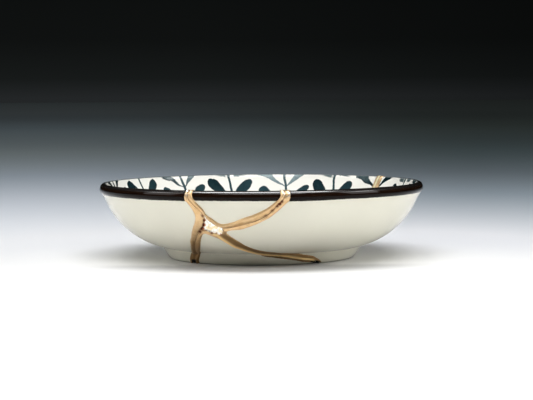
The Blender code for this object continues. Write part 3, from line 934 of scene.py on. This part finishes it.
def mark_group(name, leaf):
    """A brush mark: a leaf with a round head and a long tail, or a band that thins to its tail."""
    group = bpy.data.node_groups.new(name, "ShaderNodeTree")
    for sockets, way in ((MARK_INPUTS, "INPUT"), (MARK_OUTPUTS, "OUTPUT")):
        for socket in sockets:
            group.interface.new_socket(socket, in_out=way, socket_type="NodeSocketFloat")
    make = Maker(group)
    entry, leave = group.nodes.new("NodeGroupInput"), group.nodes.new("NodeGroupOutput")
    (across, down, head_x, head_y, tail_x, tail_y, head_radius, tail_radius, bend,
     softness) = [Value(make, socket) for socket in entry.outputs[:len(MARK_INPUTS)]]
    run_x, run_y = tail_x - head_x, tail_y - head_y
    px, py = across - head_x, down - head_y
    length = (run_x * run_x + run_y * run_y).sqrt()
    reach = (px * run_x + py * run_y) / length
    share = (reach / length).clamp()
    aside = (px * run_y - py * run_x) / length
    bent = aside - bend * share * (1.0 - share) * 4.0
    beyond = reach - share * length
    if leaf:
        head = 1.0 - (share / LEAF_WIDEST).clamp()
        tail = ((share - LEAF_WIDEST) / (1.0 - LEAF_WIDEST)).clamp()
        swell = (1.0 - head * head * head).sqrt() * (1.0 - make.math("POWER", tail, LEAF_TAPER))
        radius = head_radius * swell + tail_radius * tail
    else:
        radius = head_radius + (tail_radius - head_radius) * make.math("POWER", share, STROKE_TAPER)
    gap = (bent * bent + beyond * beyond).sqrt() - radius
    make.feed(leave.inputs["mask"], (0.5 - gap / (softness * 2.0)).clamp())
    make.feed(leave.inputs["along"], share)
    make.feed(leave.inputs["side"], bent / (radius + 0.05))
    return group


def srgb(red, green, blue):
    def linear(channel):
        channel /= 255.0
        return channel / 12.92 if channel <= 0.04045 else ((channel + 0.055) / 1.055) ** 2.4
    return (linear(red), linear(green), linear(blue), 1.0)


LIP_GREY = srgb(112, 120, 122)
BAND_DARK = srgb(14, 9, 6)
BAND_BROWN = srgb(34, 18, 9)
INSIDE_WHITE = srgb(239, 238, 231)
OUTSIDE_WHITE = srgb(239, 236, 219)
SPECK_BROWN = srgb(120, 100, 74)
BARE_CLAY = srgb(214, 205, 186)
FOOT_CONTACT_SHADE = srgb(120, 117, 100)
NOTCH_SHADE = srgb(12, 9, 6)
INK_DARK = srgb(18, 39, 44)
INK_MID = srgb(42, 66, 72)
INK_LIGHT = srgb(84, 104, 108)
INK_PALE = srgb(146, 166, 170)
# Where the band of the lip begins on the outside (height in mm) and on the inside (radius in mm)
BAND_LOW = (36.90, 37.15)
BAND_INNER = (88.0, 88.35)
# The coat on the band's widest part, between these heights in mm
COAT_RISE = (40.57, 40.92)
COAT_FALL = (41.80, 41.55)
PAINTED_ROUGH = 0.045
PLAIN_ROUGH = 0.085
GLAZE_MIRROR = 0.5
LIP_MIRROR = 0.12


def band_over(make, colour, place, radius, height, painted):
    """The brown-black lip laid over a colour, with a slightly uneven edge."""
    waver = make.noise(place, 180.0, 2.0) - 0.5
    fine = make.noise(place, 900.0, 1.0) - 0.5
    edge = waver * 0.35 + fine * 0.2
    x = make.parts(place)[0] * 1000.0
    sag = make.step(x, -34.0, -39.0) * 0.40 + make.step(x, 11.0, 14.0) * make.step(x, 44.0, 26.0) * 0.35
    outside = make.step(height + edge + sag, *BAND_LOW)
    inside = make.step(radius + edge * 0.6, *BAND_INNER)
    band = make.math("MINIMUM", outside, inside)
    if painted:
        colour = make.mix(make.step(radius + edge * 0.6, 87.2, 87.6) * 0.9, colour, LIP_GREY)
    worn = make.step(make.noise(place, 320.0, 4.0), 0.45, 0.8)
    crown = make.step(height, 38.4, 39.4) * make.step(height, 41.4, 40.4)
    brown = make.mix((worn * 0.35 + crown * 0.45).clamp(), BAND_DARK, BAND_BROWN)
    return make.mix(band, colour, brown), band


def glaze(name, base, painted, groups, mirror):
    material, make, shader = new_material(name)
    place = make.node("ShaderNodeTexCoord", outputs=3)
    x, y, z = [part * 1000.0 for part in make.parts(place)]
    radius = (x * x + y * y).sqrt()
    cloud = make.noise(place, 38.0, 3.0)
    colour = make.mix(make.step(cloud, 0.3, 0.75) * 0.35, base, tuple(c * 0.93 for c in base[:3]) + (1.0,))
    if painted:
        colour = paint(make, groups, colour, place)
    specks = make.step(make.noise(place, 1500.0, 1.0), 0.79, 0.83)
    colour = make.mix(specks * 0.35, colour, SPECK_BROWN)
    colour, band = band_over(make, colour, place, radius, z, painted)
    bare = make.step(z, 0.45, 0.2)
    colour = make.mix(bare, colour, BARE_CLAY)
    # painted contact shadow: a thin dark line round the foot where it meets the floor
    colour = make.mix(make.step(z, 0.50, 0.25) * make.step(radius, 51.0, 51.1), colour, FOOT_CONTACT_SHADE)
    # painted shade inside the notches under the foot
    if painted:
        colour = make.mix(make.step(z, 2.0, 1.8) * make.step(radius, 44.0, 44.5), colour, NOTCH_SHADE)
    make.feed(shader.inputs["Base Color"], colour)
    smoothness = PAINTED_ROUGH if painted else PLAIN_ROUGH
    rough = make.noise(place, 240.0, 3.0) * 0.05 + smoothness + bare * 0.5 - band * 0.02
    make.feed(shader.inputs["Roughness"], rough)
    make.feed(shader.inputs["Coat Weight"], band * make.step(z, *COAT_RISE) * make.step(z, *COAT_FALL))
    shader.inputs["IOR"].default_value = 1.5
    shader.inputs["Specular IOR Level"].default_value = mirror
    shader.inputs["Coat IOR"].default_value = 2.0
    shader.inputs["Coat Roughness"].default_value = 0.22
    swell = make.noise(place, 55.0, 2.0)
    pits = make.noise(place, 700.0, 2.0)
    make.bump(shader, 0.12, 0.0012, swell * 0.6 + pits * 0.012)
    return material


# Where the stems stand, in degrees from the back: forked ones at whole beats, plain ones between
BEATS = (
    (-180.0, -4.1667), (-172.5, -4.0), (-149.5, -3.5), (-126.0, -3.0), (-102.0, -2.5), (-78.5, -2.0),
    (-56.3, -1.5), (-34.2, -1.0), (-13.2, -0.5), (10.0, 0.0), (31.4, 0.5), (54.0, 1.0), (73.6, 1.5),
    (96.5, 2.0), (119.5, 2.5), (142.5, 3.0), (165.0, 3.5), (180.0, 3.8333),
)
BEAT_WIDTH = 66.9
# The unsteady hand: scale and detail of each noise, and how far it moves the marks, in metres
HAND_SHIFTS = ((95.0, 1.5, 0.0022), (620.0, 2.0, 0.00035))
# Knots of radius in mm for the length down the inside, and the lip's own radius
WALL_KNOTS = (0.0, 20.0, 40.0, 46.0, 52.0, 60.0, 68.0, 75.0, 80.0, 84.0, 87.1)
FULL_DEPTH = 120.0


def curve_of(make, value, knots):
    """A number read off a line through (value, result) knots, both within 0 to 1."""
    node = make.tree.nodes.new("ShaderNodeFloatCurve")
    node.mapping.extend = "HORIZONTAL"
    curve = node.mapping.curves[0]
    for number, knot in enumerate(knots):
        point = curve.points[number] if number < 2 else curve.points.new(*knot)
        point.location = knot
        point.handle_type = "VECTOR"
    node.mapping.update()
    make.feed(node.inputs["Value"], value)
    return Value(make, node.outputs[0])


def unsteady(make, place):
    """Places moved a little by two noises."""
    hand = place
    for scale, detail, reach in HAND_SHIFTS:
        shift = make.node("ShaderNodeTexNoise", {"Vector": place, "Scale": scale, "Detail": detail}, 1)
        centred = make.node("ShaderNodeVectorMath", {0: shift, 1: (0.5, 0.5, 0.5)}, operation="SUBTRACT")
        scaled = make.node("ShaderNodeVectorMath", {0: centred, 3: reach}, operation="SCALE")
        hand = make.node("ShaderNodeVectorMath", {0: hand, 1: scaled}, operation="ADD")
    return hand


def down_the_wall(make, radius):
    """Millimetres down the inside from the lip, by radius, from the section itself."""
    part = SKIN.lengths >= SKIN.inner_top
    radii, lengths = SKIN.points[part, 0], SKIN.lengths[part] - SKIN.inner_top
    depths = np.interp(-np.array(WALL_KNOTS) * MM, -radii, lengths) / MM
    inside = curve_of(make, radius / 100.0,
                      [(k / 100.0, d / FULL_DEPTH) for k, d in zip(WALL_KNOTS, depths)])
    return inside * FULL_DEPTH - make.math("MAXIMUM", radius - WALL_KNOTS[-1], 0.0)


def paint(make, groups, colour, place):
    """The blue-black brushwork of the inside: leaf pairs on stems, in eight repeats."""
    leaf_group, stroke_group = groups
    x, y, _ = [part * 1000.0 for part in make.parts(unsteady(make, place))]
    radius = (x * x + y * y).sqrt()
    turn = make.math("ARCTAN2", x, y)
    degrees = turn * (180.0 / math.pi)
    beat = curve_of(make, (degrees + 180.0) / 360.0,
                    [((a + 180.0) / 360.0, (b + 5.0) / 10.0) for a, b in BEATS]) * 10.0 - 5.0
    inward = radius / 85.2
    narrow = make.step(radius, 60.0, 80.0)
    spread = inward + (1.0 - inward) * narrow
    fork = (beat - make.math("ROUND", beat)) * BEAT_WIDTH * spread
    plain = (beat - make.math("FLOOR", beat) - 0.5) * BEAT_WIDTH * spread
    sway = make.math("SINE", turn + 0.35) - 0.12
    down = down_the_wall(make, radius) - sway * 1.35 * narrow
    sine = make.math("SINE", turn)
    grazing = sine * sine
    tone = make.noise(place, 130.0, 3.0)
    streak_place = make.node("ShaderNodeCombineXYZ", {0: degrees * 0.9, 1: down * 0.12, 2: 0.0})
    streak = make.noise(streak_place, 0.9, 3.0, 0.6)

    def mark(group, across, head, tail, radii, bend=0.0, softness=0.22, lengthwise=None):
        node = make.tree.nodes.new("ShaderNodeGroup")
        node.node_tree = group
        values = (across, lengthwise or down, *head, *tail, *radii, bend, softness)
        for name, value in zip(MARK_INPUTS, values):
            make.feed(node.inputs[name], value)
        return [Value(make, socket) for socket in node.outputs]

    def lay(colour, mask, ink, strength=1.0):
        return make.mix((mask * strength).clamp(), colour, ink)

    # forked strokes that spread from each forked stem to the rim: side, head, tail, radii and bend
    for side, head, tail, radii, bend in (
        (-1.0, (-16.6, -3.7), (-0.3, 7.3), (3.9, 0.20), 0.4),
        (1.0, (10.6, -3.9), (0.4, 7.0), (3.7, 0.20), -0.1),
    ):
        wide, along, aside = mark(stroke_group, fork, head, tail, radii, bend)
        shade = grazing * 1.2 + 0.20 + (streak - 0.5) * 0.5 + make.step(along, 0.25, 0.9) * 0.22
        shade = shade + make.step(aside * side, 0.3, 1.0) * 0.12
        colour = lay(colour, wide, make.mix(shade.clamp(), INK_PALE, INK_DARK))
    # dips of the arches at the plain stems, with a white nick each side of the stem
    dip = make.step(down + plain.abs() * 0.09 - 0.45, 0.25, -0.25) * make.step(plain.abs(), 11.0, 7.0)
    colour = lay(colour, dip, make.mix(grazing.clamp(), INK_LIGHT, INK_MID), 0.95)
    for middle, half, strength in ((1.4, 1.1, 0.95), (-2.2, 0.8, 0.5)):
        nick = make.step((plain - middle).abs(), half + 0.2, half - 0.2) * make.step(down, 0.7, 0.3)
        colour = lay(colour, nick, INSIDE_WHITE, strength)
    # leaves: the stem they sit on, head, tail, radii, bend and darkness
    lower = make.step(degrees, 0.0, 28.0) * 1.2
    leaves = (
        (plain, (-14.1, lower + 1.6), (-2.4, 17.6), (3.8, 0.3), 0.2, 0.75),
        (plain, (12.2, 2.3), (0.3, 17.2), (2.95, 0.3), -0.2, 0.25),
        (fork, (-16.0, 7.6), (-3.0, 19.5), (2.7, 0.3), 0.3, 0.05),
        (fork, (15.3, 5.6), (2.5, 18.5), (2.25, 0.3), -0.3, 0.20),
        (plain, (-9.6, 24.2), (-0.4, 38.5), (2.5, 0.3), 0.4, 0.3),
        (plain, (9.6, 24.2), (0.4, 38.5), (2.3, 0.3), -0.4, 0.2),
    )
    for across, head, tail, radii, bend, darkness in leaves:
        leaf, _, aside = mark(leaf_group, across, head, tail, radii, bend)
        depth = grazing * 0.5 + ((tone - 0.5) * 0.9 + (streak - 0.5) * 0.6 + aside.abs() * 0.15 + darkness)
        ink = make.mix(depth.clamp(), INK_MID, INK_DARK)
        ink = make.mix((-1.0 * depth).clamp(), ink, INK_LIGHT)
        colour = lay(colour, leaf, ink)
    # stems, down to their last millimetre
    lean = down * 0.15 - 0.9
    for across, last, darkness in ((plain, 41.0, 0.70), (fork, 31.5, 0.15)):
        slim = make.step((across - lean * narrow).abs() - down * 0.012, 0.90, 0.60)
        stem = slim * make.step(down, last + 1.0, last)
        shade = make.step(down, -1.0, 9.0) * 0.5 + grazing * 0.6 + (streak - 0.5) * 0.4 + darkness
        colour = lay(colour, stem, make.mix(shade.clamp(), INK_LIGHT, INK_MID))
    # rings round the well and a plain flower in it
    for ring, half in ((52.6, 0.55), (50.6, 0.25)):
        colour = lay(colour, make.step((radius - ring).abs(), half + 0.2, half - 0.1), INK_MID, 0.85)
    for across, head, tail, radii, darkness in (
        (fork, 21.5, 6.5, (4.0, 0.7), 0.5), (plain, 25.5, 14.5, (1.7, 0.4), 0.2),
    ):
        petal, *_ = mark(leaf_group, across, (0.0, head), (0.0, tail), radii, lengthwise=radius)
        depth = (darkness + (tone - 0.5) * 0.9 + (streak - 0.5) * 0.5).clamp()
        colour = lay(colour, petal, make.mix(depth, INK_LIGHT, INK_DARK), 0.95)
    colour = lay(colour, make.step((radius - 4.4).abs(), 0.65, 0.35), INK_MID, 0.9)
    colour = lay(colour, make.step(radius, 2.4, 2.0), INK_DARK, 0.95)
    return colour


GOLD_LIGHT = srgb(240, 208, 163)
GOLD_DEEP = srgb(226, 189, 139)
GOLD_DUST = srgb(206, 160, 106)
GOLD_SHADE = srgb(140, 103, 56)
GROOVE_BROWN = srgb(96, 54, 28)
STAIN_RED = srgb(84, 28, 12)
POCKET_GLINT_WHITE = srgb(255, 252, 243)
POCKET_GLINT_CREAM = srgb(246, 226, 186)
POCKET_SHADE = srgb(168, 92, 44)
RIDGE_HIGHLIGHT_GOLD = srgb(255, 218, 150)
CROWN_HIGHLIGHT_GOLD = srgb(255, 248, 205)
BEAD_GLINT_WHITE = srgb(255, 250, 236)
GOLD_MARKS = ("groove", "pocket", "stain_and_shade", "ridge", "flank", "within", "bead")


def gold_material():
    """Gold powder on lacquer: the marks say where it is grooved or stained, and where painted shade and
    painted highlights go.
    """
    material, make, shader = new_material("gold lacquer")
    place = make.node("ShaderNodeTexCoord", outputs=3)
    groove, pocket, stain_and_shade, ridge, flank, within, bead = [
        Value(make, make.node("ShaderNodeAttribute", attribute_name=name, outputs=2))
        for name in GOLD_MARKS]
    height = make.parts(place)[2] * 1000.0
    tone = make.noise(place, 210.0, 4.0, 0.6)
    dust = make.noise(place, 2600.0, 2.0, 0.6)
    colour = make.mix(make.step(tone, 0.3, 0.72), GOLD_LIGHT, GOLD_DEEP)
    colour = make.mix(make.step(dust, 0.35, 0.8) * 0.3, colour, GOLD_DUST)
    # the groove, with a wisp beside it, and the stains in it
    patchy = make.step(make.noise(place, 150.0, 2.0), 0.36, 0.62)
    open_gold = 1.0 - pocket
    line = make.step(groove, 0.44, 0.12) * open_gold * (patchy * 0.55 + 0.40)
    broken = make.step(make.noise(place, 120.0, 2.0), 0.44, 0.56)
    wisp = make.step((groove - 0.72).abs(), 0.18, 0.05) * open_gold * broken * 0.5
    dark = make.math("MAXIMUM", line, wisp)
    colour = make.mix(dark, colour, GROOVE_BROWN)
    stains = (stain_and_shade * make.step(groove, 1.6, 0.6) * open_gold * 1.4).clamp()
    colour = make.mix(stains, colour, STAIN_RED)
    # the chip's pocket: paled to white and cream as painted glints on its facets, with painted shade on its
    # deep side where the stain marks are
    pocket_glints_and_shade = make.mix(make.step(make.noise(place, 330.0, 2.0), 0.50, 0.60), POCKET_GLINT_WHITE, POCKET_GLINT_CREAM)
    pocket_glints_and_shade = make.mix(make.step(stain_and_shade, 0.35, 0.80), pocket_glints_and_shade, POCKET_SHADE)
    colour = make.mix(pocket, colour, pocket_glints_and_shade)
    # painted shade: darker low down and on the upper flank of the seam along the foot
    low = make.step(height, 20.0, 8.0) * (1.0 - ridge)
    worn = make.math("MAXIMUM", low, flank * make.step(height, 21.0, 17.0))
    colour = make.mix(worn * (1.0 - within) * open_gold * 0.74, colour, GOLD_SHADE)
    # painted shade: dark in the notches under the foot, with the metal's sheen taken off
    gap = make.step(groove, 1.7, 1.1) * make.step(height, 2.6, 2.1) * (1.0 - within)
    colour = make.mix(gap, colour, NOTCH_SHADE)
    # painted highlights: paler and less metallic on the ridge and on the middle of the inside seams, and
    # white glints on the beads
    colour = make.mix(ridge * 0.95, colour, RIDGE_HIGHLIGHT_GOLD)
    crown = within * make.step(groove, 2.3, 1.5) * make.step(height, 24.0, 34.0)
    colour = make.mix(crown * 0.90, colour, CROWN_HIGHLIGHT_GOLD)
    glint_spots = make.step(make.noise(place, 700.0, 2.0), 0.46, 0.54)
    colour = make.mix(bead * glint_spots, colour, BEAD_GLINT_WHITE)
    make.feed(shader.inputs["Base Color"], colour)
    make.feed(shader.inputs["Metallic"], (1.0 - ridge * 0.95 - crown * 0.80 - gap).clamp())
    rough = 0.34 + tone * 0.12 + dust * 0.08 + dark * 0.2 - pocket * 0.16 - bead * 0.14 + gap * 0.4
    make.feed(shader.inputs["Roughness"], rough)
    make.bump(shader, 0.4, 0.0001, dust * 0.5 + make.noise(place, 900.0, 3.0))
    return material


# ---------------------------------------------------------------- stage

FLOOR_RINGS = (0.3, 1.0, 3.0, 9.0, 30.0)
FLOOR_SIDES = 96
FLOOR_WHITE = (0.86, 0.86, 0.86, 1.0)
# Painted shade on the floor, darker away from the dish and more so on the right, as light falling off: its
# colour by distance from the dish in metres, on the left and on the right
SHADE_FADE_REACHES = (0.2, 0.6, 1.0, 1.8, 4.0, 9.0, 40.0)
SHADE_FADE_LEFT = (
    (0.84, 0.85, 0.87), (0.78, 0.84, 0.92), (0.71, 0.81, 0.91), (0.80, 0.92, 0.93),
    (0.52, 0.64, 0.68), (0.71, 0.77, 0.74), (0.47, 0.53, 0.49),
)
SHADE_FADE_RIGHT = (
    (0.77, 0.78, 0.81), (0.39, 0.46, 0.52), (0.29, 0.35, 0.39), (0.26, 0.35, 0.36),
    (0.22, 0.27, 0.24), (0.32, 0.36, 0.31), (0.25, 0.27, 0.23),
)


# The sky by the way's height, from the horizon to straight up: red, green and blue
SKY = (
    (0.0, 0.017, 0.019, 0.020), (0.012, 0.0085, 0.0100, 0.0098), (0.035, 0.0050, 0.0058, 0.0056),
    (0.11, 0.0032, 0.0038, 0.0037), (0.30, 0.010, 0.011, 0.012), (0.60, 0.040, 0.044, 0.048),
    (1.0, 0.055, 0.060, 0.065),
)
# Name, place, aim, size and power in watts
LIGHTS = (
    ("overhead", (0.0, -0.25, 1.0), (0.0, -0.25, 0.0), (1.2, 0.35), 11.4),
    ("overhead front", (0.0, -1.02, 1.0), (0.0, -1.02, 0.0), (1.3, 0.25), 6.8),
    ("backdrop", (-0.5, 3.4, 1.8), (-0.5, 3.4, 0.0), (3.0, 2.0), 2.6),
    ("left side", (-1.2, -0.3, 0.6), (0.0, 0.0, 0.02), (0.6, 0.6), 3.9),
    ("right side", (1.2, -0.3, 0.6), (0.0, 0.0, 0.02), (0.6, 0.6), 5.6),
)
CAMERA_PLACE = Vector((0.0028, -0.9000, 0.0901))
CAMERA_PITCH = math.radians(3.71)
CAMERA_ROLL = math.radians(0.38)
CAMERA_LENS = 107.73
SENSOR_WIDTH = 36.0


def floor_tint(make, place):
    """The floor's colour: white before the dish, with painted shade fading it to the sides and away from
    it, and a painted shadow under the front of the rim.
    """
    x, y, _ = make.parts(place)
    distance = (x * x + y * y).sqrt()
    first, last = math.log(SHADE_FADE_REACHES[0]), math.log(SHADE_FADE_REACHES[-1])
    share = (make.math("LOGARITHM", distance + 0.001, math.e) - first) / (last - first)
    shares = [(math.log(reach) - first) / (last - first) for reach in SHADE_FADE_REACHES]
    left, right = [make.ramp(share, [(stop, *tint) for stop, tint in zip(shares, tints)])
                   for tints in (SHADE_FADE_LEFT, SHADE_FADE_RIGHT)]
    tint = make.mix(make.step(x / (distance + 0.9), -0.150, 0.145), left, right)
    tint = make.mix(make.step(y, 0.08, -0.06), tint, FLOOR_WHITE)
    # painted shadow: the floor darkened in a crescent under the front of the rim
    painted_shadow_crescent = make.step(y, -0.040, -0.058) * make.step(distance, 0.118, 0.070)
    return make.mix(painted_shadow_crescent * 0.39, tint, (0.0, 0.0, 0.0, 1.0))


def make_floor():
    material, make, shader = new_material("studio floor")
    make.feed(shader.inputs["Base Color"], floor_tint(make, make.node("ShaderNodeTexCoord", outputs=3)))
    shader.inputs["Roughness"].default_value = 0.75
    shader.inputs["Specular IOR Level"].default_value = 0.2
    count = FLOOR_SIDES
    vertices = [(0.0, 0.0, 0.0)]
    for ring in FLOOR_RINGS:
        vertices += [(ring * math.cos(math.tau * i / count), ring * math.sin(math.tau * i / count), 0.0)
                     for i in range(count)]
    faces = [(0, 1 + i, 1 + (i + 1) % count) for i in range(count)]
    for row in range(len(FLOOR_RINGS) - 1):
        low, high = 1 + row * count, 1 + (row + 1) * count
        faces += [(low + i, high + i, high + (i + 1) % count, low + (i + 1) % count) for i in range(count)]
    floor = make_object("floor", vertices, faces, [material])


def make_light(name, place, aim, size, power):
    lamp = bpy.data.lights.new(name, "AREA")
    lamp.shape = "RECTANGLE"
    lamp.size, lamp.size_y = size
    lamp.energy = power
    thing = bpy.data.objects.new(name, lamp)
    thing.location = place
    thing.rotation_euler = (Vector(aim) - Vector(place)).to_track_quat("-Z", "Y").to_euler()
    bpy.context.scene.collection.objects.link(thing)


def make_world():
    world = bpy.data.worlds.new("studio")
    world.use_nodes = True
    bpy.context.scene.world = world
    make = Maker(world.node_tree)
    background = world.node_tree.nodes["Background"]
    x, _, z = make.parts(make.node("ShaderNodeTexCoord", outputs=0))
    make.feed(background.inputs["Color"], make.ramp(z, SKY))
    aside = (x * -1.9 + 0.91).clamp()
    low = make.step(z, 0.25, 0.0)
    make.feed(background.inputs["Strength"], 1.0 + low * (aside - 1.0))


def make_camera():
    lens = bpy.data.cameras.new("camera")
    lens.sensor_fit = "HORIZONTAL"
    lens.sensor_width = SENSOR_WIDTH
    lens.lens = CAMERA_LENS
    lens.clip_start = 0.01
    lens.clip_end = 100.0
    camera = bpy.data.objects.new("camera", lens)
    turn = Matrix.Rotation(math.pi / 2.0 - CAMERA_PITCH, 4, "X") @ Matrix.Rotation(-CAMERA_ROLL, 4, "Z")
    camera.matrix_world = Matrix.Translation(CAMERA_PLACE) @ turn
    bpy.context.scene.collection.objects.link(camera)
    bpy.context.scene.camera = camera


# ---------------------------------------------------------------- making it all

make_camera()
bpy.context.scene.view_settings.view_transform = "Standard"
make_world()
make_floor()
for light in LIGHTS:
    make_light(*light)

marks = mark_group("leaf mark", True), mark_group("stroke mark", False)
GLAZES = [glaze("painted glaze", INSIDE_WHITE, True, marks, GLAZE_MIRROR),
          glaze("plain glaze", OUTSIDE_WHITE, False, marks, GLAZE_MIRROR),
          glaze("lip glaze", OUTSIDE_WHITE, False, marks, LIP_MIRROR)]
# The cracks run on a little into the chip, so that they meet its outline
CUTS = [smooth(knots, CUT_STEP) for knots in (
    on_wall((-16.8, 21.2)) + LOW_RIGHT, TOP_LEFT + on_wall((-19.6, 27.0)),
    on_wall((-20.0, 24.0)) + LOW_LEFT + BACK[1:], TOP_RIGHT + on_wall((-16.2, 22.4)))]
make_shards(GLAZES, CUTS)
SEAMS = [smooth(knots, SEAM_STEP) for knots in (TOP_LEFT, LOW_LEFT, TOP_RIGHT, LOW_RIGHT, BACK)]
make_gold(gold_material(), SEAMS)
